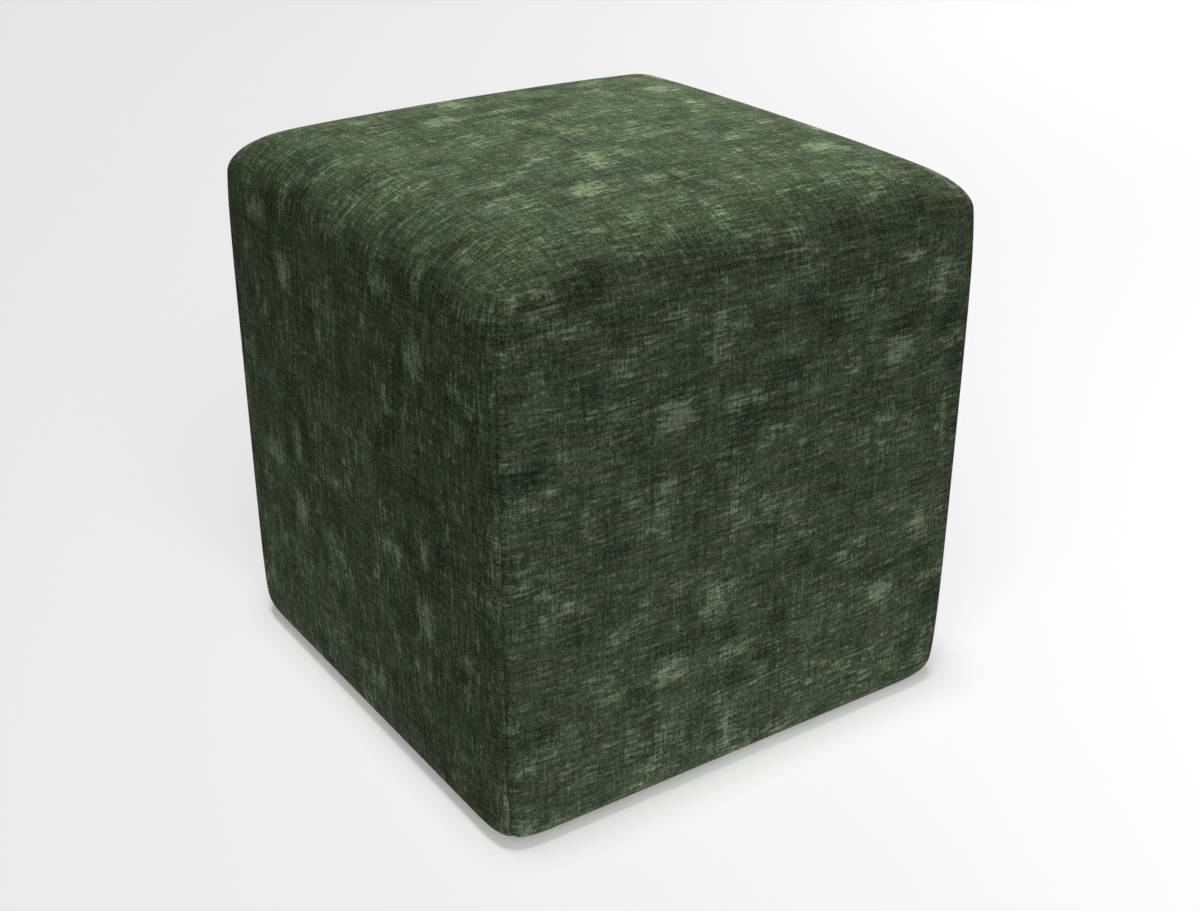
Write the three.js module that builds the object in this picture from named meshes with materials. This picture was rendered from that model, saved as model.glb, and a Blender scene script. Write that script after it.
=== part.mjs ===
// A cube pouf stool: one filled cushion in a one-piece cover.
//
// The cover is cut as a plus: a top panel with a flap on each side. The flaps fold down over soft
// top edges and are sewn to each other along the four upright corners. The filling rounds the top
// edges, crowns the top and bows the walls, and the seams lie in shallow valleys. The stool rests on
// a flat base, inside a small rounding.
//
// Millimetres, +Z up. The origin is the middle of the base, and the walls face -Y, +X, +Y and -X.

import * as THREE from "three";

// Overall sizes
const HALF_WIDTH = 225; // middle to wall, at the foot and at the top of a wall
const RIM_HEIGHT = 462; // height of the top without its crown
const CROWN = 12; // how far the filling lifts the middle of the top
const CORNER_DROOP = 5; // how far a top corner hangs below the rim
const DROOP_POWER = 4; // keeps the droop near the corners

// Roundings
const TOP_INSET = 66; // how far in from the wall the top edge starts to bend
const TOP_DROP = 38; // height of that bend
const BASE_INSET = 19;
const BASE_RISE = 21;
const CORNER_SIZE = TOP_INSET; // plan length of the superellipse at an upright corner
const CORNER_POWER = { foot: 5.4, middle: 12, top: 5.2 }; // a higher power is a sharper corner

// Filled walls
const WALL_BOW = 5; // how far a wall swells at its middle
const BOW_POWER = 8; // keeps the swelling on the wall itself
const SEAM_DRAW = 1.8; // how far the seams pull the corners in at mid height

// Upright seams
const SEAM_DEPTH = 2;
const SEAM_HALF_WIDTH = 3;
const SHOULDER = THREE.MathUtils.degToRad(60); // angle round the top bend where the seams end

// Steps of the surface
const FLAT_STEPS = 8; // across the flat part of a panel
const CORNER_SHARES = [0.3, 0.55, 0.75, 0.87, 0.94, 0.98, 1]; // from the flat part to a seam
const BASE_STEPS = 4;
const WALL_STEPS = 8;
const BEND_STEPS = 3; // from the top of a wall to the shoulder

const WALL_TOP = RIM_HEIGHT - TOP_DROP;
const SHOULDER_LEVEL = Math.sin(SHOULDER);

/**
 * Columns across a panel, from seam to seam. `flat` runs from -1 to 1 over the flat part, and
 * `corner` is the share of the way from there to a seam.
 */
function panelColumns() {
  const left = CORNER_SHARES.toReversed().map((corner) => ({ flat: -1, corner }));
  const right = CORNER_SHARES.map((corner) => ({ flat: 1, corner }));
  const middle = [];
  for (let i = 0; i <= FLAT_STEPS; i += 1) {
    middle.push({ flat: (2 * i) / FLAT_STEPS - 1, corner: 0 });
  }
  return [...left, ...middle, ...right];
}

/** Rises from 0 at one end of a wall to 1 half way, and falls to 0 at the other end. */
function hump(share) {
  return 4 * share * (1 - share);
}

/**
 * Sections up a side, from the base to the shoulder. A row has its height z, the half width of its
 * square, its level (the size of its corners as a share of CORNER_SIZE), the power of its corners,
 * the bow of its walls, and how much of the seam's valley it has.
 */
function sideSections() {
  const rows = [];
  for (let i = 0; i <= BASE_STEPS; i += 1) {
    const angle = ((i / BASE_STEPS) * Math.PI) / 2;
    const z = BASE_RISE * (1 - Math.cos(angle));
    const half = HALF_WIDTH - BASE_INSET * (1 - Math.sin(angle));
    rows.push({ z, half, level: 1, power: CORNER_POWER.foot, bow: 0, seam: 1 });
  }
  for (let i = 1; i <= WALL_STEPS; i += 1) {
    const share = i / WALL_STEPS;
    const z = THREE.MathUtils.lerp(BASE_RISE, WALL_TOP, share);
    const half = HALF_WIDTH - SEAM_DRAW * hump(share);
    const end = share < 0.5 ? CORNER_POWER.foot : CORNER_POWER.top;
    const power = THREE.MathUtils.lerp(CORNER_POWER.middle, end, (2 * share - 1) ** 2);
    rows.push({ z, half, level: 1, power, bow: WALL_BOW * hump(share), seam: 1 });
  }
  for (let i = 1; i <= BEND_STEPS; i += 1) {
    const angle = THREE.MathUtils.lerp(Math.PI / 2, SHOULDER, i / BEND_STEPS);
    const z = WALL_TOP + TOP_DROP * Math.cos(angle);
    const level = Math.sin(angle);
    const seam = (level - SHOULDER_LEVEL) / (1 - SHOULDER_LEVEL);
    rows.push({ z, half: HALF_WIDTH, level, power: CORNER_POWER.top, bow: 0, seam });
  }
  return rows;
}

/**
 * One length of a superellipse point, where the other length has the given share:
 * (1 - share^power / 2)^(1 / power). At a share of 1 it is the length that both have at a seam.
 */
function beside(share, power) {
  return (1 - share ** power / 2) ** (1 / power);
}

/** Lifts a point above the walls by the crown, and lowers it by the droop of the corners. */
function settle(point) {
  const bend = Math.max(0, point.z - WALL_TOP) / TOP_DROP;
  const acrossX = Math.abs(point.x) / HALF_WIDTH;
  const acrossY = Math.abs(point.y) / HALF_WIDTH;
  const crown = bend > 0 ? CROWN * (1 - acrossX ** 2) * (1 - acrossY ** 2) : 0;
  point.z += crown - CORNER_DROOP * (acrossX * acrossY) ** DROOP_POWER * bend;
  return point;
}

/** A point of the wall that faces -Y, where a column crosses a section. */
function wallPoint(column, section) {
  const { half, level, power } = section;
  const flatHalf = half - CORNER_SIZE;
  const along = CORNER_SIZE * level * column.corner * beside(1, power);
  const across = Math.abs(column.flat) * flatHalf + along;
  const out = flatHalf + CORNER_SIZE * level * beside(column.corner, power);

  const shareAcross = across / half;
  const shareOut = out / half;
  const swellOut = section.bow * shareOut ** BOW_POWER * (1 - shareAcross ** 2);
  const swellAcross = section.bow * shareAcross ** BOW_POWER * (1 - shareOut ** 2);

  const seamAt = flatHalf + CORNER_SIZE * level * beside(1, power);
  const fromSeam = Math.hypot(seamAt - across, seamAt - out);
  const valley = SEAM_DEPTH * section.seam * Math.exp(-((fromSeam / SEAM_HALF_WIDTH) ** 2));
  const pull = valley * Math.SQRT1_2; // the same along both walls, so towards the middle

  const x = Math.sign(column.flat) * (across + swellAcross - pull);
  return settle(new THREE.Vector3(x, pull - out - swellOut, section.z));
}

/** A point of the top panel. The bend over one edge narrows where it meets the bend over the next. */
function topPoint(column, row) {
  const flatHalf = HALF_WIDTH - CORNER_SIZE;
  const power = CORNER_POWER.top;
  const levelX = SHOULDER_LEVEL * column.corner * beside(row.corner, power);
  const levelY = SHOULDER_LEVEL * row.corner * beside(column.corner, power);
  const level = (levelX ** power + levelY ** power) ** (1 / power);
  const x = column.flat * flatHalf + Math.sign(column.flat) * CORNER_SIZE * levelX;
  const y = row.flat * flatHalf + Math.sign(row.flat) * CORNER_SIZE * levelY;
  const z = WALL_TOP + TOP_DROP * Math.sqrt(1 - level ** 2);
  return settle(new THREE.Vector3(x, y, z));
}

/** The points of one section, once round the four walls, without the last column of each wall. */
function sectionRing(columns, section) {
  const wall = columns.slice(0, -1).map((column) => wallPoint(column, section));
  const ring = [];
  for (let quarter = 0; quarter < 4; quarter += 1) {
    for (const point of wall) {
      const turned = point.clone();
      for (let turn = 0; turn < quarter; turn += 1) turned.set(-turned.y, turned.x, turned.z);
      ring.push(turned);
    }
  }
  return ring;
}

/** The closed surface: a flat base, the walls up to the shoulder, and the top panel over them. */
function cushionGeometry() {
  const columns = panelColumns();
  const steps = columns.length - 1;
  const around = 4 * steps;
  const rings = sideSections().map((section) => sectionRing(columns, section));
  const points = [new THREE.Vector3(0, 0, 0), ...rings.flat()];
  const faces = [];
  const addQuad = (a, b, c, d) => faces.push(a, b, c, a, c, d);
  const ringIndex = (ring, i) => 1 + ring * around + (i % around);

  for (let i = 0; i < around; i += 1) {
    faces.push(0, ringIndex(0, i + 1), ringIndex(0, i));
    for (let ring = 0; ring + 1 < rings.length; ring += 1) {
      const [low, high] = [ring, ring + 1];
      addQuad(ringIndex(low, i), ringIndex(low, i + 1), ringIndex(high, i + 1), ringIndex(high, i));
    }
  }

  const topStart = points.length;
  for (let j = 1; j < steps; j += 1) {
    for (let i = 1; i < steps; i += 1) points.push(topPoint(columns[i], columns[j]));
  }
  const last = rings.length - 1;
  const topIndex = (i, j) => {
    if (j === 0) return ringIndex(last, i);
    if (i === steps) return ringIndex(last, steps + j);
    if (j === steps) return ringIndex(last, 3 * steps - i);
    if (i === 0) return ringIndex(last, 4 * steps - j);
    return topStart + (j - 1) * (steps - 1) + i - 1;
  };
  for (let j = 0; j < steps; j += 1) {
    for (let i = 0; i < steps; i += 1) {
      addQuad(topIndex(i, j), topIndex(i + 1, j), topIndex(i + 1, j + 1), topIndex(i, j + 1));
    }
  }

  const geometry = new THREE.BufferGeometry().setFromPoints(points);
  geometry.setIndex(faces);
  geometry.computeVertexNormals();
  return geometry;
}

/** The whole stool. Its cover and filling are one soft solid. */
function pouf() {
  const fabric = new THREE.MeshStandardMaterial({ color: 0x45503f, roughness: 0.95, metalness: 0 });
  const cushion = new THREE.Mesh(cushionGeometry(), fabric);
  cushion.name = "pouf_cushion";
  return new THREE.Group().add(cushion);
}

export default pouf();
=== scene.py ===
"""Cube pouf stool: one cut of woven green cloth, filled tight and sewn at its four upright corners."""

import logging  # noqa: E402
import math  # noqa: E402
from dataclasses import dataclass, replace  # noqa: E402
from enum import Enum  # noqa: E402
from typing import NamedTuple  # noqa: E402

import bpy  # noqa: E402
import numpy as np  # noqa: E402
from mathutils import Matrix, Vector  # noqa: E402

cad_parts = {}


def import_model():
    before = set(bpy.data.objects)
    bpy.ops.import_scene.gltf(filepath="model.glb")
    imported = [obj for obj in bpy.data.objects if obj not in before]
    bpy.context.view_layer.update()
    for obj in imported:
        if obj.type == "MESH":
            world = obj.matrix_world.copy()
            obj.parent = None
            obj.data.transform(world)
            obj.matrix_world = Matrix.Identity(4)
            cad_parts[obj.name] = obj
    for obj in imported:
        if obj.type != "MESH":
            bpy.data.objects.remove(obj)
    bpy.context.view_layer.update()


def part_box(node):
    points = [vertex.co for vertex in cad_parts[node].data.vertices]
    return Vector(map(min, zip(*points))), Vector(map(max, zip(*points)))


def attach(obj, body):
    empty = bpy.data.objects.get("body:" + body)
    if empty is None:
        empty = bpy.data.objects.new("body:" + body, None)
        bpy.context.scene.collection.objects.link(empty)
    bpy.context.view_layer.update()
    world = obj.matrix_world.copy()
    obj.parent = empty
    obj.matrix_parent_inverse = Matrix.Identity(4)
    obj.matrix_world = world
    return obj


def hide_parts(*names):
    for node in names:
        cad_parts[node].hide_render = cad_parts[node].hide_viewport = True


LOG = logging.getLogger("pouf")
MM = 0.001
CUSHION_NODE = "pouf_cushion"
CLOTH_MAP = "cloth"


class Wall(Enum):
    """The cover's walls, by the quarter turns that carry the front wall onto each."""

    FRONT = 0
    RIGHT = 1
    BACK = 2
    LEFT = 3

    def turn(self, across: np.ndarray, away: np.ndarray) -> tuple[np.ndarray, np.ndarray]:
        """Turns the front wall's two plan coordinates onto this wall: each quarter is (x, y) to (-y, x)."""
        for _ in range(self.value):
            across, away = -away, across
        return across, away


def hump(share: np.ndarray) -> np.ndarray:
    """A parabola over shares 0 to 1: four times the share times what is left, so 1 at the middle."""
    return 4 * share * (1 - share)


def corner_reach(share: np.ndarray, power: np.ndarray | float) -> np.ndarray:
    """The far coordinate of a superellipse corner: (1 - share^power / 2) to the power 1 / power.

    Args:
        share: how far round the corner, 0 where the flat ends and 1 on the diagonal.
        power: the superellipse's power, 2 for a circle and more for a squarer corner.

    Returns:
        the reach, 1 where the flat ends and equal to the near coordinate on the diagonal.
    """
    return (1 - np.abs(share) ** power / 2) ** (1 / power)


@dataclass(frozen=True)
class Columns:
    """The grid lines across a panel, from one seam to the next, as signed shares.

    Fields: flat runs -1 to 1 over the straight stretch, and corner -1 to 1 counts only past it.
    """

    flat: np.ndarray
    corner: np.ndarray

    @classmethod
    def spaced(cls, flat_steps: int, corner_steps: int, crowding: float) -> "Columns":
        """Even steps over the flat, then steps that crowd towards the seam as 1 - (1 - k / n)^crowding.

        Args:
            flat_steps: steps from the middle to where the flat ends.
            corner_steps: steps from there to the seam.
            crowding: the power of the crowding, 1 for even steps.

        Returns:
            the columns of both halves.
        """
        flat = np.linspace(0, 1, flat_steps + 1)
        corner = 1 - (1 - np.arange(1, corner_steps + 1) / corner_steps) ** crowding
        flat = np.concatenate([flat, np.ones(corner_steps)])
        corner = np.concatenate([np.zeros(flat_steps + 1), corner])
        return cls(np.concatenate([-flat[:0:-1], flat]), np.concatenate([-corner[:0:-1], corner]))

    @property
    def count(self) -> int:
        """The steps from seam to seam."""
        return len(self.flat) - 1


@dataclass(frozen=True)
class Sections:
    """The level rings of the walls from the floor up, one value a ring in each array.

    Fields: height and half width in metres, level for how far the corner is rounded out,
    power of its superellipse, and bow of the wall in metres.
    """

    height: np.ndarray
    half: np.ndarray
    level: np.ndarray
    power: np.ndarray
    bow: np.ndarray


@dataclass(frozen=True)
class PoufForm:
    """The cushion's driving sizes in metres: a soft box whose walls bow out between drawn-in seams."""

    half_width: float
    rim_height: float
    crown: float = 12 * MM
    corner_droop: float = 5 * MM
    droop_power: float = 4.0
    top_inset: float = 66 * MM
    top_drop: float = 38 * MM
    base_inset: float = 19 * MM
    base_rise: float = 21 * MM
    foot_power: float = 5.4
    middle_power: float = 12.0
    top_power: float = 5.2
    wall_bow: float = 5 * MM
    bow_power: float = 8.0
    seam_draw: float = 1.8 * MM
    seam_depth: float = 1.2 * MM
    seam_half_width: float = 3 * MM
    shoulder: float = math.radians(60)

    @classmethod
    def from_box(cls, low: Vector, high: Vector) -> "PoufForm":
        """Reads the driving sizes from the cushion's box: its side holds the bow, its height the crown."""
        half_width = (high.x - low.x) / 2 - cls.wall_bow + cls.seam_draw
        return cls(half_width=half_width, rim_height=high.z - low.z - cls.crown)

    @property
    def wall_top(self) -> float:
        """The height where the walls end and the top's bend begins."""
        return self.rim_height - self.top_drop

    @property
    def shoulder_level(self) -> float:
        """The level at the shoulder, where the seams end: the sine of its angle."""
        return math.sin(self.shoulder)

    def sections(self, base_steps: int, wall_steps: int, bend_steps: int) -> Sections:
        """The rings up a wall: a quarter round at the foot, the wall, and the bend up to the shoulder.

        The foot rises by 1 - cos and comes out by sin of its angle. The wall's half width loses a
        hump of the seam draw, and its power runs from the middle's to each end's by the square of
        the distance from mid height. The bend's height gains the drop times cos of its angle.

        Args:
            base_steps: steps round the foot.
            wall_steps: steps up the wall.
            bend_steps: steps over the bend.

        Returns:
            the rings, in order from the floor.
        """
        foot = np.radians(np.linspace(0, 90, base_steps + 1))
        share = np.linspace(0, 1, wall_steps + 1)[1:]
        bend = np.linspace(math.pi / 2, self.shoulder, bend_steps + 1)[1:]
        end_power = np.where(share < 0.5, self.foot_power, self.top_power)
        wall_power = self.middle_power + (end_power - self.middle_power) * (2 * share - 1) ** 2
        return Sections(
            height=np.concatenate(
                [
                    self.base_rise * (1 - np.cos(foot)),
                    self.base_rise + (self.wall_top - self.base_rise) * share,
                    self.wall_top + self.top_drop * np.cos(bend),
                ]
            ),
            half=np.concatenate(
                [
                    self.half_width - self.base_inset * (1 - np.sin(foot)),
                    self.half_width - self.seam_draw * hump(share),
                    np.full(bend_steps, self.half_width),
                ]
            ),
            level=np.concatenate([np.ones(base_steps + 1 + wall_steps), np.sin(bend)]),
            power=np.concatenate(
                [
                    np.full(base_steps + 1, self.foot_power),
                    wall_power,
                    np.full(bend_steps, self.top_power),
                ]
            ),
            bow=np.concatenate(
                [np.zeros(base_steps + 1), self.wall_bow * hump(share), np.zeros(bend_steps)]
            ),
        )

    def wall_points(self, columns: Columns, rings: Sections) -> np.ndarray:
        """The front wall: each ring's superellipse corner set beside its flat, and swollen by the bow.

        Across is the flat share plus the corner's near coordinate, out the flat plus its far one.
        The swell is the bow times (out / half)^power times 1 - (across / half)^2, and the other
        way round for across, so that both walls agree on the diagonal.

        Args:
            columns: the grid lines across the wall.
            rings: the grid lines up the wall.

        Returns:
            points by ring and column.
        """
        half, level, power, bow, height = (
            part[:, None] for part in (rings.half, rings.level, rings.power, rings.bow, rings.height)
        )
        flat_half = half - self.top_inset
        corner = np.abs(columns.corner)[None, :]
        across = np.abs(columns.flat)[None, :] * flat_half
        across = across + self.top_inset * level * corner * corner_reach(1.0, power)
        out = flat_half + self.top_inset * level * corner_reach(corner, power)
        swell_out = bow * (out / half) ** self.bow_power * (1 - (across / half) ** 2)
        swell_across = bow * (across / half) ** self.bow_power * (1 - (out / half) ** 2)
        side = np.sign(columns.flat)[None, :]
        x = side * (across + swell_across)
        y = -(out + swell_out)
        return self.settled(np.stack([x, y, np.broadcast_to(height, x.shape)], axis=-1))

    def rounded_square(
        self, columns: Columns, half: float, level: float, power: float
    ) -> tuple[np.ndarray, np.ndarray, np.ndarray]:
        """A level square grid whose border is a wall's ring, and how far out each point lies.

        Past the flat, each way's corner coordinate is the level times its share times the other
        way's corner reach, and the superellipse's own norm joins the two into one level.

        Args:
            columns: the grid lines, used both ways.
            half: the ring's half width.
            level: the ring's level.
            power: the ring's power.

        Returns:
            x, y and level by row, from the front to the back, and column.
        """
        corner = np.abs(columns.corner)
        flat_half = half - self.top_inset
        level_x = level * corner[None, :] * corner_reach(corner[:, None], power)
        side = np.sign(columns.flat)[None, :]
        x = columns.flat[None, :] * flat_half + side * self.top_inset * level_x
        return x, x.T, (level_x**power + level_x.T**power) ** (1 / power)

    def top_points(self, columns: Columns) -> np.ndarray:
        """The top inside the shoulders: its height is the wall's top plus the drop by sqrt(1 - level^2)."""
        x, y, level = self.rounded_square(
            columns, self.half_width, self.shoulder_level, self.top_power
        )
        z = self.wall_top + self.top_drop * np.sqrt(1 - level**2)
        return self.settled(np.stack([x, y, z], axis=-1))

    def base_points(self, columns: Columns) -> np.ndarray:
        """The flat base inside the foot's lowest ring, at the height of the floor."""
        x, y, _ = self.rounded_square(
            columns, self.half_width - self.base_inset, 1.0, self.foot_power
        )
        return np.stack([x, y, np.zeros_like(x)], axis=-1)

    def settled(self, points: np.ndarray) -> np.ndarray:
        """Lifts the top's middle by the crown and lets its corners droop, both fading down the bend.

        The crown goes as (1 - X^2)(1 - Y^2) and the droop as (X Y)^power, in half widths.

        Args:
            points: points with their last axis x, y, z.

        Returns:
            the points with new heights.
        """
        x, y, z = np.moveaxis(points, -1, 0)
        bend = np.maximum(0, z - self.wall_top) / self.top_drop
        reach_x = np.minimum(1, np.abs(x) / self.half_width)
        reach_y = np.minimum(1, np.abs(y) / self.half_width)
        lift = np.where(bend > 0, self.crown * (1 - reach_x**2) * (1 - reach_y**2), 0)
        droop = self.corner_droop * (reach_x * reach_y) ** self.droop_power * bend
        return np.stack([x, y, z + lift - droop], axis=-1)

    def seam_share(self, height: np.ndarray) -> np.ndarray:
        """How fully a seam is drawn in at a height: 1 up the walls, fading over the bend to the shoulder."""
        rise = np.clip((height - self.wall_top) / self.top_drop, 0, 1)
        level = np.sqrt(1 - rise**2)
        share = (level - self.shoulder_level) / (1 - self.shoulder_level)
        return np.clip(share, 0, 1)


class Patch(NamedTuple):
    """One slubby area of the weave, in millimetres of its repeat: left, top, width, height, strength."""

    left: float
    top: float
    wide: float
    tall: float
    strength: float


PALE_PATCHES = (
    Patch(25, 3, 36, 9, 0.70),
    Patch(28, 6, 17, 6, 0.35),
    Patch(3, 8, 12, 5, 0.60),
    Patch(132, 11, 24, 9, 0.85),
    Patch(104, 21, 14, 5, 0.40),
    Patch(170, 11, 11, 7, 0.50),
    Patch(169, 23, 18, 35, 0.85),
    Patch(186, 29, 22, 10, 0.55),
    Patch(82, 38, 19, 11, 0.90),
    Patch(99, 28, 21, 12, 0.50),
    Patch(64, 69, 12, 11, 0.65),
    Patch(81, 68, 14, 12, 0.65),
    Patch(124, 79, 30, 24, 0.95),
    Patch(76, 90, 22, 7, 0.60),
    Patch(182, 89, 38, 11, 0.75),
    Patch(3, 92, 10, 5, 0.35),
    Patch(4, 122, 19, 6, 0.65),
    Patch(4, 130, 17, 4, 0.90),
    Patch(27, 120, 11, 10, 0.75),
    Patch(72, 136, 11, 9, 0.60),
    Patch(38, 135, 10, 13, 0.50),
    Patch(59, 149, 10, 10, 0.60),
    Patch(44, 153, 9, 5, 0.50),
    Patch(94, 144, 22, 14, 0.55),
    Patch(124, 138, 18, 20, 0.70),
    Patch(121, 162, 13, 10, 0.90),
    Patch(108, 175, 26, 7, 0.60),
    Patch(149, 150, 9, 30, 0.40),
    Patch(180, 124, 11, 16, 0.45),
    Patch(191, 144, 9, 42, 0.75),
    Patch(193, 176, 20, 26, 0.40),
    Patch(22, 186, 24, 9, 0.75),
    Patch(21, 200, 25, 12, 0.65),
    Patch(0, 178, 16, 24, 0.60),
)
DEEP_PATCHES = (
    Patch(47, 20, 12, 21, 0.80),
    Patch(60, 48, 20, 12, 0.70),
    Patch(60, 57, 42, 10, 0.60),
    Patch(118, 64, 34, 13, 0.80),
    Patch(178, 64, 24, 22, 0.80),
    Patch(0, 100, 32, 16, 0.80),
    Patch(193, 101, 23, 26, 0.85),
    Patch(81, 119, 10, 10, 0.70),
    Patch(113, 129, 11, 13, 0.80),
    Patch(70, 179, 21, 20, 0.90),
    Patch(99, 100, 12, 11, 0.60),
    Patch(14, 69, 27, 22, 0.65),
    Patch(149, 178, 13, 18, 0.65),
    Patch(84, 8, 18, 26, 0.45),
    Patch(8, 22, 14, 14, 0.45),
    Patch(160, 62, 16, 14, 0.40),
    Patch(172, 148, 14, 26, 0.35),
)


@dataclass(frozen=True)
class ClothCut:
    """How the flat cloth lies on the cushion: a plus, its middle the top and its arms the walls.

    Fields: the weave's repeat and where it starts, the share that the cloth is stretched by and how
    far out, the fall over which a wall's cloth eases into the top's, the charted areas' soft edge,
    and the limit that keeps their formula's power in range.
    """

    repeat: float = 215 * MM
    offset: float = 26.4 * MM
    top_stretch: float = 0.024
    stretch_reach: float = 247.5 * MM
    settle_length: float = 76 * MM
    soft_edge: float = 2.6 * MM
    edge_limit: float = 30.0

    def eased(self, arc: np.ndarray) -> np.ndarray:
        """Cloth length under a signed arc from the top's centre, where the cloth is stretched a little."""
        return arc - self.top_stretch * np.clip(arc, -self.stretch_reach, self.stretch_reach)

    def to_map(self, across: np.ndarray, away: np.ndarray) -> np.ndarray:
        """Cloth coordinates in metres from the top's centre, as map coordinates of one a repeat."""
        return np.stack([across / self.repeat, (away + self.offset) / self.repeat], axis=-1)

    def charted(self, cloth: np.ndarray, patches: tuple[Patch, ...]) -> np.ndarray:
        """The strongest patch at each map point, every patch a soft-edged box that repeats both ways.

        The box is the product over both directions of 1 / (1 + e^((distance - half size) / edge)),
        with the distance taken round the repeat.

        Args:
            cloth: map coordinates, the last axis across and up.
            patches: the charted areas.

        Returns:
            strength from 0 to 1 at each point.
        """
        repeat = self.repeat / MM
        soft = self.soft_edge / MM
        right = cloth[..., 0] * repeat
        down = -cloth[..., 1] * repeat
        shade = np.zeros(right.shape)
        for patch in patches:
            box = np.full(right.shape, patch.strength)
            for place, start, size in ((right, patch.left, patch.wide), (down, patch.top, patch.tall)):
                centre = start + size / 2
                gap = np.abs((place - centre + repeat / 2) % repeat - repeat / 2)
                past = np.clip((gap - size / 2) / soft, -self.edge_limit, self.edge_limit)
                box /= 1 + np.exp(past)
            shade = np.maximum(shade, box)
        return shade


def arc_from_middle(points: np.ndarray, axis: int) -> np.ndarray:
    """Signed arc length along an axis of a grid of points, from its middle line: summed chord lengths.

    Args:
        points: a grid of points, the last axis x, y, z.
        axis: 0 to run along the rows' direction, 1 along the columns'.

    Returns:
        metres, negative before the middle.
    """
    grid = np.moveaxis(points, axis, 0)
    chords = np.linalg.norm(np.diff(grid, axis=0), axis=-1)
    arc = np.concatenate([np.zeros_like(chords[:1]), np.cumsum(chords, axis=0)])
    arc = arc - arc[len(arc) // 2]
    return np.moveaxis(arc, 0, axis)


def arc_to_last(points: np.ndarray) -> np.ndarray:
    """Arc length from each point of a line to its last point: summed chord lengths."""
    chords = np.linalg.norm(np.diff(points, axis=0), axis=-1)
    return np.append(np.cumsum(chords[::-1])[::-1], 0.0)


def linear_colour(hex_code: str) -> tuple[float, float, float, float]:
    """Turns an sRGB hex value to linear: below 0.04045 a twelfth or so, above it a power of 2.4.

    Args:
        hex_code: six hex digits, with or without a leading #.

    Returns:
        linear red, green and blue, and an alpha of 1.
    """
    digits = hex_code.lstrip("#")
    levels = [int(digits[k : k + 2], 16) / 255 for k in (0, 2, 4)]
    linear = [v / 12.92 if v <= 0.04045 else ((v + 0.055) / 1.055) ** 2.4 for v in levels]
    return (linear[0], linear[1], linear[2], 1.0)


def add_node(
    tree: bpy.types.NodeTree,
    kind: str,
    settings: dict[str, object] | None = None,
    inputs: dict[str | int, object] | None = None,
) -> bpy.types.Node:
    """Adds one node with its settings, values and links.

    Args:
        tree: the node tree.
        kind: the node's type name.
        settings: the node's own properties by name.
        inputs: a value to set or an output socket to link, by the input's name or number.

    Returns:
        the node.
    """
    node = tree.nodes.new(kind)
    for name, value in (settings or {}).items():
        setattr(node, name, value)
    for key, value in (inputs or {}).items():
        if isinstance(value, bpy.types.NodeSocket):
            tree.links.new(value, node.inputs[key])
        else:
            node.inputs[key].default_value = value
    return node


class Grain(NamedTuple):
    """One layer of uneven yarns, drawn as noise.

    Fields: across and away are its cell sizes in millimetres along the map's two ways, octaves its
    detail, tone its share of the cloth's lightness and relief its share of the bump.
    """

    across: float
    away: float
    octaves: float
    tone: float
    relief: float


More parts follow.
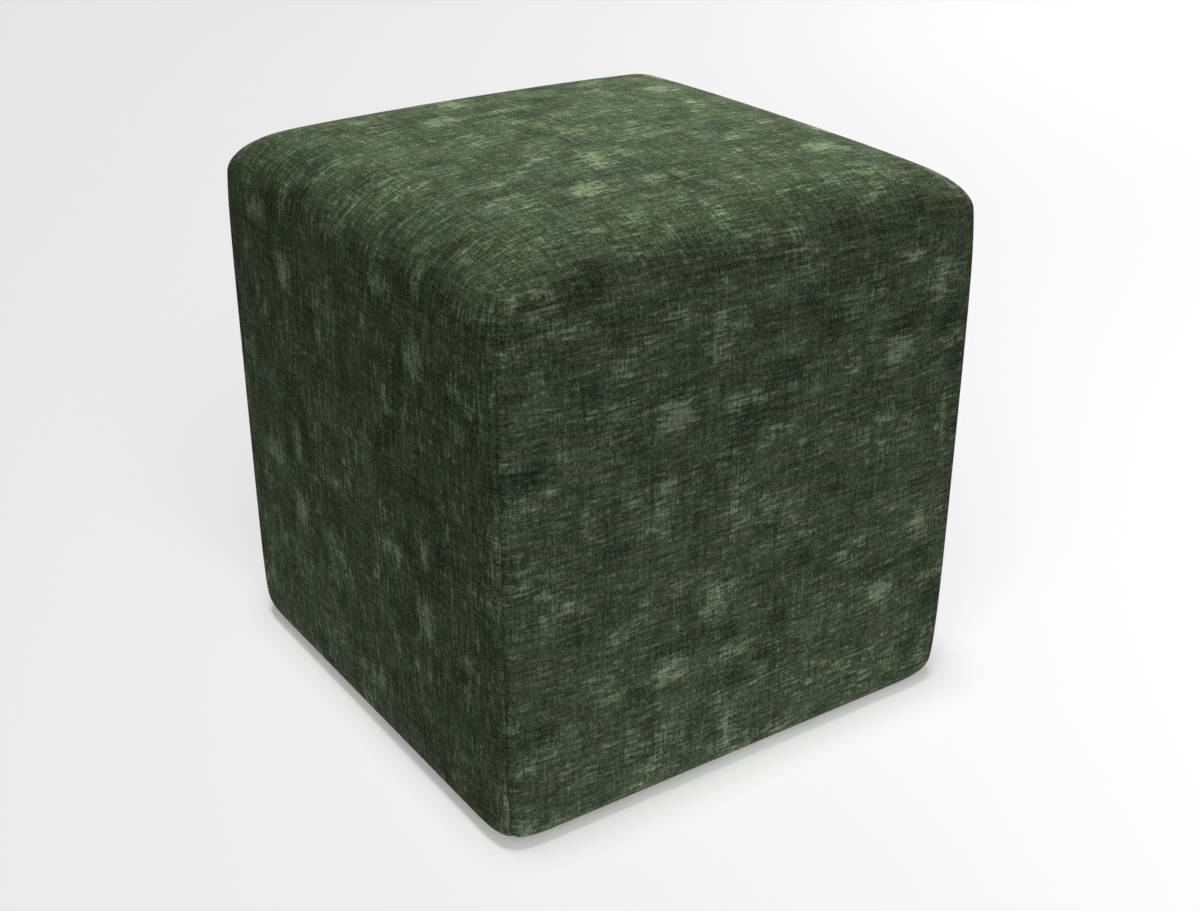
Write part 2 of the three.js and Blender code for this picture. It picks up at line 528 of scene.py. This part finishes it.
@dataclass(frozen=True)
class SlubWeave:
    """Cross-dyed slub weave of matt polyester-linen yarn, with uneven yarns both ways.

    What the eye sees: short pale dashes along the weft, fainter ones along the warp, both breaking
    up soft-edged pale and blue-dark areas, and no shine at all. Such yarns are taken to be half a
    millimetre thick, too fine to show, so thread and cross_thread draw them over twice as coarse.

    Fields: a grain a layer, the twill's two repeats with its tone and relief, ground for the plain
    cloth's lightness, and what a pale area adds to it and a deep one takes away. A pale area shows
    between pale_start and pale_full, after each carry has moved its edge by that layer's yarns.
    The drift is the slow change of hue, and the tints multiply the colour; the ditch's tint is painted shade
    in the seams' stitched groove.
    """

    name: str = "slub_weave_cloth"
    weft: Grain = Grain(20, 2.2, 2.0, 0.22, 0.20)
    weft_long: Grain = Grain(55, 4.6, 1.0, 0.21, 0.0)
    warp: Grain = Grain(1.8, 15, 2.0, 0.17, 0.15)
    warp_long: Grain = Grain(4.5, 50, 1.0, 0.17, 0.0)
    thread: Grain = Grain(3.4, 1.25, 1.0, 0.38, 0.45)
    cross_thread: Grain = Grain(1.25, 3.4, 1.0, 0.34, 0.45)
    cloud: Grain = Grain(42, 30, 2.0, 0.20, 0.0)
    dash: Grain = Grain(13, 3.6, 2.0, 0.05, 0.0)
    grain_roughness: float = 0.55
    twill_across: float = 2.5 * MM
    twill_away: float = 3.583 * MM
    twill_tone: float = 0.018
    twill_relief: float = 0.10
    ground: float = 0.447
    pale_gain: float = 0.29
    deep_loss: float = 0.10
    pale_start: float = 0.02
    pale_full: float = 1.15
    dash_carry: float = 1.9
    weft_carry: float = 1.1
    warp_carry: float = 1.0
    layer_shift: tuple[float, float] = (7.31, 3.17)
    drift: Grain = Grain(55, 14, 2.0, 0.0, 0.0)
    drift_roughness: float = 0.6
    drift_middle: float = 0.5
    olive_full: float = 0.72
    blue_full: float = 0.28
    deep_blue: float = 0.7
    olive_tint: tuple[float, float, float] = (1.08, 1.0, 0.97)
    blue_tint: tuple[float, float, float] = (0.96, 1.0, 1.06)
    # painted shade: multiplies the colour darker in the seams' stitched groove, where the fold would be
    # shaded
    ditch_shade_tint: tuple[float, float, float] = (0.70, 0.70, 0.70)
    bump_strength: float = 0.55
    bump_distance: float = 0.8 * MM
    roughness: float = 0.95
    specular: float = 0.05
    ramp: tuple[tuple[float, str], ...] = (
        (0.20, "#24291f"),
        (0.38, "#3f4938"),
        (0.50, "#54614b"),
        (0.64, "#6d7a61"),
        (0.82, "#909c81"),
        (1.00, "#b2bba2"),
    )

    @property
    def layers(self) -> dict[str, Grain]:
        """The grains by name, in the order that fixes each one's own shift."""
        names = ("weft", "weft_long", "warp", "warp_long", "thread", "cross_thread", "cloud", "dash")
        return {name: getattr(self, name) for name in names}

    def build(self, cut: ClothCut) -> bpy.types.Material:
        """Makes the material.

        Args:
            cut: the cloth's repeat, which gives the map its scale.

        Returns:
            the material.
        """
        material = bpy.data.materials.new(self.name)
        material.use_nodes = True
        tree = material.node_tree
        tree.nodes.clear()
        cloth = add_node(tree, "ShaderNodeUVMap", {"uv_map": CLOTH_MAP}).outputs["UV"]
        # pale and deep are the weave's charted areas; ditch is the seams' groove, darkened as painted shade
        pale, deep, ditch = (
            add_node(tree, "ShaderNodeAttribute", {"attribute_name": name}).outputs["Fac"]
            for name in ("pale", "deep", "ditch")
        )
        repeat = cut.repeat / MM
        layers = self.layers
        noises = {
            name: self.noise(tree, cloth, repeat, layer, number, self.grain_roughness)
            for number, (name, layer) in enumerate(layers.items())
        }
        twill = self.twill(tree, cloth, cut.repeat)
        tones = [(noises[name], layer.tone) for name, layer in layers.items()]
        lightness = self.total(
            tree,
            self.ground - 0.5 * sum(tone for _, tone in tones),
            [
                (self.lit(tree, pale, noises), self.pale_gain),
                *tones,
                (deep, -self.deep_loss),
                (twill, self.twill_tone),
            ],
        )
        reliefs = [(noises[name], layer.relief) for name, layer in layers.items() if layer.relief]
        relief = self.total(tree, 0.0, [(twill, self.twill_relief), *reliefs])
        drift = self.noise(tree, cloth, repeat, self.drift, 0, self.drift_roughness)
        colour = self.tinted(tree, self.shade(tree, lightness), drift, deep, ditch)
        bump = add_node(
            tree,
            "ShaderNodeBump",
            None,
            {"Strength": self.bump_strength, "Distance": self.bump_distance, "Height": relief},
        )
        shader = add_node(
            tree,
            "ShaderNodeBsdfPrincipled",
            None,
            {
                "Base Color": colour,
                "Roughness": self.roughness,
                "Specular IOR Level": self.specular,
                "Normal": bump.outputs["Normal"],
            },
        )
        add_node(tree, "ShaderNodeOutputMaterial", None, {"Surface": shader.outputs[0]})
        return material

    def noise(
        self,
        tree: bpy.types.NodeTree,
        cloth: bpy.types.NodeSocket,
        repeat: float,
        layer: Grain,
        number: int,
        roughness: float,
    ) -> bpy.types.NodeSocket:
        """Draws one layer: noise on the map times cells a repeat, shifted by its number times the shift.

        Args:
            tree: the node tree.
            cloth: the map.
            repeat: the weave's repeat in millimetres.
            layer: the layer's sizes.
            number: the layer's number, which keeps it clear of the others.
            roughness: how strong the finer octaves are.

        Returns:
            the noise, 0.5 in the middle.
        """
        cells = (repeat / layer.across, repeat / layer.away, 1.0)
        shift = (self.layer_shift[0] * number, self.layer_shift[1] * number, 0.0)
        place = add_node(
            tree,
            "ShaderNodeVectorMath",
            {"operation": "MULTIPLY_ADD"},
            {0: cloth, 1: cells, 2: shift},
        )
        return add_node(
            tree,
            "ShaderNodeTexNoise",
            {"noise_dimensions": "2D"},
            {
                "Vector": place.outputs[0],
                "Scale": 1.0,
                "Detail": layer.octaves,
                "Roughness": roughness,
            },
        ).outputs["Fac"]

    def twill(
        self, tree: bpy.types.NodeTree, cloth: bpy.types.NodeSocket, repeat: float
    ) -> bpy.types.NodeSocket:
        """Draws the fine diagonal: the sine of a full turn for each twill repeat, both ways summed."""
        turns = (repeat / self.twill_across, repeat / self.twill_away, 0.0)
        phase = add_node(
            tree, "ShaderNodeVectorMath", {"operation": "DOT_PRODUCT"}, {0: cloth, 1: turns}
        )
        angle = add_node(
            tree, "ShaderNodeMath", {"operation": "MULTIPLY"}, {0: phase.outputs["Value"], 1: 2 * math.pi}
        )
        return add_node(tree, "ShaderNodeMath", {"operation": "SINE"}, {0: angle.outputs[0]}).outputs[0]

    def lit(
        self,
        tree: bpy.types.NodeTree,
        pale: bpy.types.NodeSocket,
        noises: dict[str, bpy.types.NodeSocket],
    ) -> bpy.types.NodeSocket:
        """Frays the pale areas: they keep their place, but the yarns' dashes carry their edges in and out.

        The chart's value plus each carry times (noise - 0.5) goes through a smooth step.

        Args:
            tree: the node tree.
            pale: the charted pale areas.
            noises: each layer's noise by name.

        Returns:
            how pale the cloth is, 0 to 1.
        """
        carries = (
            (noises["dash"], self.dash_carry),
            (noises["weft"], self.weft_carry),
            (noises["warp"], self.warp_carry),
        )
        edge = self.total(tree, -0.5 * sum(carry for _, carry in carries), [(pale, 1.0), *carries])
        return add_node(
            tree,
            "ShaderNodeMapRange",
            {"interpolation_type": "SMOOTHSTEP"},
            {"Value": edge, "From Min": self.pale_start, "From Max": self.pale_full},
        ).outputs[0]

    @staticmethod
    def total(
        tree: bpy.types.NodeTree, start: float, parts: list[tuple[bpy.types.NodeSocket, float]]
    ) -> bpy.types.NodeSocket:
        """Sums a start value and every part times its weight, one after another.

        Args:
            tree: the node tree.
            start: the plain value that the sum begins with.
            parts: outputs and their weights.

        Returns:
            the sum.
        """
        value = start
        for source, weight in parts:
            value = add_node(
                tree, "ShaderNodeMath", {"operation": "MULTIPLY_ADD"}, {0: source, 1: weight, 2: value}
            ).outputs[0]
        return value

    def shade(
        self, tree: bpy.types.NodeTree, lightness: bpy.types.NodeSocket
    ) -> bpy.types.NodeSocket:
        """Turns lightness into the dyed greens, by straight steps between the ramp's colours."""
        ramp = add_node(tree, "ShaderNodeValToRGB", None, {"Fac": lightness})
        stops = ramp.color_ramp.elements
        while len(stops) < len(self.ramp):
            stops.new(0.5)
        for stop, (position, colour) in zip(stops, self.ramp):
            stop.position = position
            stop.color = linear_colour(colour)
        return ramp.outputs["Color"]

    def tinted(
        self,
        tree: bpy.types.NodeTree,
        colour: bpy.types.NodeSocket,
        drift: bpy.types.NodeSocket,
        deep: bpy.types.NodeSocket,
        ditch: bpy.types.NodeSocket,
    ) -> bpy.types.NodeSocket:
        """Tints the colour: olive and blue-green yarns in slow drifts, blue in the deep areas, and painted
        shade in the seams' groove.

        Args:
            tree: the node tree.
            colour: the untinted colour.
            drift: the slow noise, olive above its middle and blue below.
            deep: the charted deep areas.
            ditch: how deep in a seam's groove the point lies, which darkens the colour there as painted
                shade.

        Returns:
            the tinted colour.
        """
        olive, blue = (
            add_node(
                tree,
                "ShaderNodeMapRange",
                None,
                {"Value": drift, "From Min": self.drift_middle, "From Max": full},
            ).outputs[0]
            for full in (self.olive_full, self.blue_full)
        )
        deep_blue = add_node(
            tree,
            "ShaderNodeMath",
            {"operation": "MULTIPLY_ADD", "use_clamp": True},
            {0: deep, 1: self.deep_blue, 2: blue},
        ).outputs[0]
        for share, tint in (
            (olive, self.olive_tint),
            (deep_blue, self.blue_tint),
            # painted shade in the seams' groove
            (ditch, self.ditch_shade_tint),
        ):
            mixed = add_node(
                tree,
                "ShaderNodeMix",
                {"data_type": "RGBA", "blend_type": "MULTIPLY", "clamp_factor": True},
                {"Factor": share},
            )
            sockets = [s for s in mixed.inputs if s.type == "RGBA"]
            tree.links.new(colour, sockets[0])
            sockets[1].default_value = (*tint, 1.0)
            colour = next(s for s in mixed.outputs if s.type == "RGBA")
        return colour


@dataclass(frozen=True)
class MattFloor:
    """Smooth matt painted board: pale, even and without shine."""

    name: str = "matt_painted_floor"
    colour: str = "#f2f2f2"

    def build(self) -> bpy.types.Material:
        """Makes the material."""
        material = bpy.data.materials.new(self.name)
        material.use_nodes = True
        shader = material.node_tree.nodes["Principled BSDF"]
        shader.inputs["Base Color"].default_value = linear_colour(self.colour)
        shader.inputs["Roughness"].default_value = 1.0
        shader.inputs["Specular IOR Level"].default_value = 0.0
        return material


@dataclass
class PoufCover:
    """The filled cover: its grid, its swell under the fill, its sewn corners and its cloth.

    Fields: the grid's steps, and how its columns crowd towards the seams; the crown's slack before
    it is filled, the fill's pressure and frames, and how firmly the bend is held; how many foot
    insets from the wall still count as the side when the seams are drawn; and the stitched ditch, whose
    width also sets the painted shade in it.
    """

    form: PoufForm
    cut: ClothCut
    flat_steps: int = 17
    corner_steps: int = 14
    crowding: float = 1.9
    base_steps: int = 4
    wall_steps: int = 46
    bend_steps: int = 6
    crown_slack: float = 1.5 * MM
    pressure: float = 4.0
    frames: int = 20
    bend_hold: float = 0.8
    foot_margin: float = 1.5
    ditch_half_width: float = 0.9 * MM
    ditch_depth: float = 0.3 * MM

    def build(self, name: str) -> bpy.types.Object:
        """Makes the piece: grid, fill, one subdivision, then seams and chart.

        Args:
            name: the piece's name.

        Returns:
            the finished object, not yet dressed.
        """
        crown = self.form.crown - self.crown_slack
        slack = replace(self.form, wall_bow=0.0, crown=crown)
        start = slack
        mesh = self.grid_mesh(name, start)
        piece = bpy.data.objects.new(name, mesh)
        bpy.context.scene.collection.objects.link(piece)
        self.fill(piece)
        self.soften(piece)
        self.sew(piece.data)
        self.chart(piece.data)
        return piece

    def grid_mesh(self, name: str, form: PoufForm) -> bpy.types.Mesh:
        """Joins four walls, the top and the base into one closed mesh with the cloth's map.

        The walls' rings are one grid that closes on itself, and the top's and the base's borders are
        its last and first rings, so no point is doubled. The cloth's coordinates are arc lengths:
        over the top and down the walls along their middle lines, so that yarns run straight, and
        across a wall along each ring, which eases into the top's own within the settle length.

        Args:
            name: the mesh's name.
            form: the sizes to build from.

        Returns:
            the mesh.
        """
        columns = Columns.spaced(self.flat_steps, self.corner_steps, self.crowding)
        rings = form.sections(self.base_steps, self.wall_steps, self.bend_steps)
        wall = form.wall_points(columns, rings)
        top = form.top_points(columns)
        base = form.base_points(columns)
        count, levels = columns.count, len(rings.height)
        around = 4 * count

        walls = np.empty((levels, around, 3))
        for side in Wall:
            x, y = side.turn(wall[:, :-1, 0], wall[:, :-1, 1])
            span = slice(side.value * count, (side.value + 1) * count)
            walls[:, span] = np.stack([x, y, wall[:, :-1, 2]], axis=-1)
        ring_numbers = np.arange(levels * around).reshape(levels, around)
        top_numbers = self.cap_numbers(ring_numbers[-1], levels * around)
        base_numbers = self.cap_numbers(ring_numbers[0], levels * around + (count - 1) ** 2)
        points = np.concatenate(
            [
                walls.reshape(-1, 3),
                top[1:-1, 1:-1].reshape(-1, 3),
                base[1:-1, 1:-1].reshape(-1, 3),
            ]
        )

        cut = self.cut
        middle = count // 2
        over = cut.eased(arc_from_middle(top[:, middle], 0))
        down = arc_to_last(wall[:, middle])
        fall = cut.eased(arc_from_middle(top[:, middle], 0)[-1] + down)
        settle = np.clip(down / cut.settle_length, 0, 1)[:, None]
        along = over + (arc_from_middle(wall, 1) - over) * settle
        fall = np.broadcast_to(fall[:, None], along.shape)
        top_across, top_away = np.meshgrid(over, over)

        closed = np.concatenate([ring_numbers, ring_numbers[:, :1]], axis=1)
        quads, maps = [], []
        for side in Wall:
            quads.append(self.cells(closed[:, side.value * count : (side.value + 1) * count + 1]))
            maps.append(self.cells(cut.to_map(*side.turn(along, -fall))))
        quads.append(self.cells(top_numbers))
        maps.append(self.cells(cut.to_map(top_across, top_away)))
        quads.append(self.cells(base_numbers)[:, ::-1])
        maps.append(self.cells(cut.to_map(base[..., 0], base[..., 1]))[:, ::-1])

        mesh = bpy.data.meshes.new(name)
        mesh.from_pydata(points, [], np.concatenate(quads).tolist())
        layer = mesh.uv_layers.new(name=CLOTH_MAP)
        layer.uv.foreach_set("vector", np.concatenate(maps).astype(np.float32).ravel())
        mesh.update()
        return mesh

    @staticmethod
    def cap_numbers(rim: np.ndarray, first: int) -> np.ndarray:
        """Numbers the points of a cap's grid: its border is a closed ring, and its inside is new.

        Args:
            rim: the ring's point numbers, from the front left corner and round by the right.
            first: the first number inside.

        Returns:
            point numbers by row, from the front, and column, from the left.
        """
        count = len(rim) // 4
        numbers = np.empty((count + 1, count + 1), int)
        numbers[0, :] = rim[: count + 1]
        numbers[:, -1] = rim[count : 2 * count + 1]
        numbers[-1, ::-1] = rim[2 * count : 3 * count + 1]
        numbers[::-1, 0] = np.append(rim[3 * count :], rim[0])
        numbers[1:-1, 1:-1] = first + np.arange((count - 1) ** 2).reshape(count - 1, count - 1)
        return numbers

    @staticmethod
    def cells(grid: np.ndarray) -> np.ndarray:
        """The four corners of every cell of a grid, in the order that faces outward."""
        return np.stack([grid[:-1, :-1], grid[:-1, 1:], grid[1:, 1:], grid[1:, :-1]], axis=2).reshape(
            -1, 4, *grid.shape[2:]
        )

    def fill(self, piece: bpy.types.Object) -> None:
        """Blows the slack cover up by the cloth simulation, held at its seams, foot and bend.

        The movement is then brought down in proportion until its largest is the wall's bow, so the
        swell keeps its shape and no point goes further than the fill really pushes it.
        """
        mesh = piece.data
        start = np.empty(len(mesh.vertices) * 3, np.float32)
        mesh.vertices.foreach_get("co", start)
        start = start.reshape(-1, 3)
        x, y, z = np.abs(start).T
        seam_gap = np.abs(x - y) / math.sqrt(2)
        on_wall = z < self.form.wall_top
        held = np.where(on_wall & (seam_gap < self.form.seam_half_width), 1.0, 0.0)
        held = np.where(z < self.form.base_rise, 1.0, held)
        outer = np.maximum(x, y) > self.form.half_width - self.form.top_inset
        bend = ~on_wall & outer
        held = np.where(bend, self.bend_hold, held)
        group = piece.vertex_groups.new(name="held")
        for weight in np.unique(held[held > 0]):
            group.add(np.flatnonzero(held == weight).tolist(), float(weight), "REPLACE")

        cloth = piece.modifiers.new("fill", "CLOTH")
        cloth.settings.vertex_group_mass = group.name
        cloth.settings.use_pressure = True
        cloth.settings.uniform_pressure_force = self.pressure
        cloth.settings.effector_weights.gravity = 0
        cloth.collision_settings.use_collision = False
        scene = bpy.context.scene
        for frame in range(1, self.frames + 1):
            scene.frame_set(frame)
        filled = piece.evaluated_get(bpy.context.evaluated_depsgraph_get()).to_mesh()
        moved = np.empty(len(start) * 3, np.float32)
        filled.vertices.foreach_get("co", moved)
        travel = moved.reshape(-1, 3) - start
        piece.evaluated_get(bpy.context.evaluated_depsgraph_get()).to_mesh_clear()
        piece.modifiers.remove(cloth)
        scene.frame_set(1)
        reach = float(np.linalg.norm(travel, axis=-1).max())
        LOG.info("the fill pushed the cover %.1f mm before it was brought down", reach / MM)
        mesh.vertices.foreach_set("co", (start + travel * (self.form.wall_bow / reach)).ravel())
        mesh.update()

    def soften(self, piece: bpy.types.Object) -> None:
        """Adds one subdivision and applies it, so that the seams can be drawn into fine cells."""
        finer = piece.modifiers.new("soften", "SUBSURF")
        finer.levels = finer.render_levels = 1
        coarse = piece.data
        depsgraph = bpy.context.evaluated_depsgraph_get()
        fine = bpy.data.meshes.new_from_object(piece.evaluated_get(depsgraph))
        piece.modifiers.clear()
        piece.vertex_groups.clear()
        piece.data = fine
        bpy.data.meshes.remove(coarse)
        fine.name = piece.name
        fine.shade_smooth()

    def sew(self, mesh: bpy.types.Mesh) -> None:
        """Draws the four upright seams in and marks their ditch, where the cloth's colour gets painted
        shade.

        A point's distance from the seam is the difference of its plan coordinates over the root of
        two, and it goes in along the diagonal by depth times e^-(distance / half width)^2, for the
        broad valley and again for the narrow ditch where the stitches pull.
        """
        points = np.empty(len(mesh.vertices) * 3, np.float32)
        mesh.vertices.foreach_get("co", points)
        points = points.reshape(-1, 3)
        reach = np.abs(points[:, :2])
        gap = np.abs(reach[:, 0] - reach[:, 1]) / math.sqrt(2)
        side_limit = self.form.half_width - self.foot_margin * self.form.base_inset
        corner_limit = self.form.half_width - self.form.top_inset
        on_side = (reach.max(axis=1) > side_limit) & (reach.min(axis=1) > corner_limit)
        share = self.form.seam_share(points[:, 2]) * on_side
        valley = self.form.seam_depth * np.exp(-((gap / self.form.seam_half_width) ** 2))
        ditch = np.exp(-((gap / self.ditch_half_width) ** 2))
        pull = share * (valley + self.ditch_depth * ditch) / math.sqrt(2)
        points[:, :2] -= np.sign(points[:, :2]) * pull[:, None]
        mesh.vertices.foreach_set("co", points.ravel())
        # the ditch mark sets where painted shade darkens the cloth in the seam's groove
        mark = mesh.attributes.new("ditch", "FLOAT", "POINT")
        mark.data.foreach_set("value", (share * ditch).astype(np.float32))
        mesh.update()

    def chart(self, mesh: bpy.types.Mesh) -> None:
        """Writes the weave's pale and deep areas at every face corner, read off the listed chart."""
        cloth = np.empty(len(mesh.loops) * 2, np.float32)
        mesh.uv_layers[CLOTH_MAP].uv.foreach_get("vector", cloth)
        cloth = cloth.reshape(-1, 2).astype(float)
        for name, patches in (("pale", PALE_PATCHES), ("deep", DEEP_PATCHES)):
            layer = mesh.attributes.new(name, "FLOAT", "CORNER")
            layer.data.foreach_set("value", self.cut.charted(cloth, patches).astype(np.float32))

    def dress(self, piece: bpy.types.Object, finish: SlubWeave) -> None:
        """Lays the cloth on the piece, hangs it from the root body, and hides the cushion part that it
        replaces.
        """
        piece.data.materials.clear()
        piece.data.materials.append(finish.build(self.cut))
        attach(piece, "root")
        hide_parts(CUSHION_NODE)


class Reach(Enum):
    """What a lamp lights: the cover alone, the floor with the pouf's shade, or the floor without it."""

    COVER = "cover"
    SHADED_FLOOR = "shaded_floor"
    OPEN_FLOOR = "open_floor"


class SkyLamp(NamedTuple):
    """One distant soft light.

    Fields: azimuth 0 comes from the front and -90 from the left, width is the light's own angle,
    all in degrees, strength is in watts a square metre, then its colour and its reach.
    """

    name: str
    azimuth: float
    elevation: float
    width: float
    strength: float
    colour: tuple[float, float, float]
    reach: Reach


class PanelLamp(NamedTuple):
    """One near square panel: its place and aim in metres, side, power in watts, reach and colour."""

    name: str
    place: tuple[float, float, float]
    aim: tuple[float, float, float]
    side: float
    power: float
    reach: Reach
    colour: tuple[float, float, float] = (1.0, 1.0, 1.0)


@dataclass(frozen=True)
class Studio:
    """A pale floor, soft lamps, and the camera.

    The cover and the floor are lit apart, each by its own lamps, and the floor throws no light on
    the cover. The pouf shades the floor from its overhead and low lamps, and from no others.
    """

    floor_half: float = 60.0
    world_colour: str = "#eeeeee"
    camera_azimuth: float = -34.105
    camera_elevation: float = 25.901
    camera_distance: float = 1.4742
    camera_aim: tuple[float, float, float] = (8.3 * MM, -5.6 * MM, 186.3 * MM)
    lens: float = 50.908
    sensor_width: float = 36.0
    sky_distance: float = 3.0
    sky_lamps: tuple[SkyLamp, ...] = (
        SkyLamp("corner_fill", -34, 68, 40, 0.74, (1.04, 1.0, 0.98), Reach.COVER),
        SkyLamp("left_fill", -90, 30, 60, 0.48, (0.88, 1.0, 0.83), Reach.COVER),
        SkyLamp("front_fill", 0, 35, 40, 0.15, (0.97, 1.0, 1.05), Reach.COVER),
        SkyLamp("front_bounce", 0, -40, 60, 1.04, (0.97, 1.0, 1.05), Reach.COVER),
        SkyLamp("back_fill", 150, 45, 60, 1.93, (0.95, 1.0, 0.90), Reach.COVER),
        SkyLamp("foot_bounce", 0, -90, 40, 0.40, (1.0, 1.0, 1.0), Reach.COVER),
        SkyLamp("floor_key", -90, 88, 11, 1.43, (1.0, 1.0, 1.0), Reach.SHADED_FLOOR),
        SkyLamp("floor_low", -34, 45, 60, 1.32, (1.0, 1.0, 1.0), Reach.SHADED_FLOOR),
        SkyLamp("floor_fill", 0, 90, 14, 0.32, (1.0, 1.0, 1.0), Reach.OPEN_FLOOR),
    )
    panel_lamps: tuple[PanelLamp, ...] = (
        PanelLamp(
            "top_fill", (0.65, 0.4, 1.2), (0.0, 0.0, 0.47), 0.8, 9.3, Reach.COVER, (0.97, 1.0, 0.92)
        ),
        PanelLamp("front_foot", (0.0, -0.5, -0.3), (0.0, -0.225, 0.0), 0.4, 0.95, Reach.COVER),
        PanelLamp("left_foot", (-0.55, 0.22, -0.25), (-0.225, 0.1, 0.0), 0.4, 0.74, Reach.COVER),
        PanelLamp("near_glow", (1.39, -1.31, 1.2), (1.39, -1.31, 0.0), 1.0, 17.0, Reach.OPEN_FLOOR),
        PanelLamp("far_glow", (3.03, 1.12, 2.0), (3.03, 1.12, 0.0), 1.0, 15.5, Reach.OPEN_FLOOR),
    )

    def direction(self, azimuth: float, elevation: float) -> Vector:
        """The unit vector towards a place in the sky, azimuth 0 in front and positive to the right."""
        turn, rise = math.radians(azimuth), math.radians(elevation)
        return Vector(
            (math.sin(turn) * math.cos(rise), -math.cos(turn) * math.cos(rise), math.sin(rise))
        )

    def build(self, shown: bpy.types.Object) -> None:
        """Makes the floor, the world, the lamps and the camera.

        Args:
            shown: the piece that the fills light.
        """
        scene = bpy.context.scene
        scene.view_settings.view_transform = "Standard"
        floor = self.add_floor(scene)
        self.add_world(scene)
        cover_alone = bpy.data.collections.new("cover_alone")
        cover_alone.objects.link(shown)
        floor_alone = bpy.data.collections.new("floor_alone")
        floor_alone.objects.link(floor)
        links = {
            Reach.COVER: (cover_alone, cover_alone),
            Reach.SHADED_FLOOR: (floor_alone, None),
            Reach.OPEN_FLOOR: (floor_alone, floor_alone),
        }
        for lamp in self.sky_lamps:
            light = bpy.data.lights.new(lamp.name, "SUN")
            light.energy = lamp.strength
            light.angle = math.radians(lamp.width)
            light.color = lamp.colour
            towards = self.direction(lamp.azimuth, lamp.elevation)
            place = self.sky_distance * towards
            self.hang(scene, light, place, -towards, links[lamp.reach])
        for lamp in self.panel_lamps:
            light = bpy.data.lights.new(lamp.name, "AREA")
            light.energy = lamp.power
            light.color = lamp.colour
            light.size = lamp.side
            place = Vector(lamp.place)
            self.hang(scene, light, place, Vector(lamp.aim) - place, links[lamp.reach])
        self.add_camera(scene)

    def add_floor(self, scene: bpy.types.Scene) -> bpy.types.Object:
        """Lays the floor: a plane at the height that the pouf stands on, which throws no light back."""
        half = self.floor_half
        mesh = bpy.data.meshes.new("floor")
        corners = [(-half, -half, 0), (half, -half, 0), (half, half, 0), (-half, half, 0)]
        mesh.from_pydata(corners, [], [(0, 1, 2, 3)])
        floor = bpy.data.objects.new("floor", mesh)
        scene.collection.objects.link(floor)
        mesh.materials.append(MattFloor().build())
        floor.visible_diffuse = False
        floor.visible_glossy = False
        return floor

    def add_world(self, scene: bpy.types.Scene) -> None:
        """Makes the pale surround, which the camera sees but which lights nothing."""
        world = bpy.data.worlds.new("pale_surround")
        world.use_nodes = True
        background = world.node_tree.nodes["Background"]
        background.inputs["Color"].default_value = linear_colour(self.world_colour)
        world.cycles_visibility.diffuse = False
        world.cycles_visibility.glossy = False
        scene.world = world

    def hang(
        self,
        scene: bpy.types.Scene,
        light: bpy.types.Light,
        place: Vector,
        facing: Vector,
        links: tuple[bpy.types.Collection, bpy.types.Collection | None],
    ) -> None:
        """Hangs one lamp.

        Args:
            scene: the scene.
            light: the light itself.
            place: where it hangs.
            facing: the way that it shines.
            links: what it lights, and what shades that, or None for everything.
        """
        holder = bpy.data.objects.new(light.name, light)
        holder.location = place
        holder.rotation_euler = facing.to_track_quat("-Z", "Y").to_euler()
        scene.collection.objects.link(holder)
        holder.light_linking.receiver_collection, holder.light_linking.blocker_collection = links

    def add_camera(self, scene: bpy.types.Scene) -> None:
        """Sets the camera at its angle and distance from the aim."""
        camera = bpy.data.cameras.new("camera")
        camera.lens = self.lens
        camera.sensor_width = self.sensor_width
        camera.sensor_fit = "HORIZONTAL"
        holder = bpy.data.objects.new("camera", camera)
        back = self.direction(self.camera_azimuth, self.camera_elevation)
        place = Vector(self.camera_aim) + back * self.camera_distance
        turn = (-back).to_track_quat("-Z", "Y").to_matrix().to_4x4()
        holder.matrix_world = Matrix.Translation(place) @ turn
        scene.collection.objects.link(holder)
        scene.camera = holder


def main() -> None:
    """Builds the cover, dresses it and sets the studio."""
    logging.basicConfig(level=logging.INFO, format="%(message)s")
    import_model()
    form = PoufForm.from_box(*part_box(CUSHION_NODE))
    cover = PoufCover(form, ClothCut())
    piece = cover.build("pouf_cover")
    cover.dress(piece, SlubWeave())
    LOG.info("%s: %d points, %d faces", piece.name, len(piece.data.vertices), len(piece.data.polygons))
    Studio().build(piece)
    bpy.context.view_layer.update()


if __name__ == "__main__":
    main()
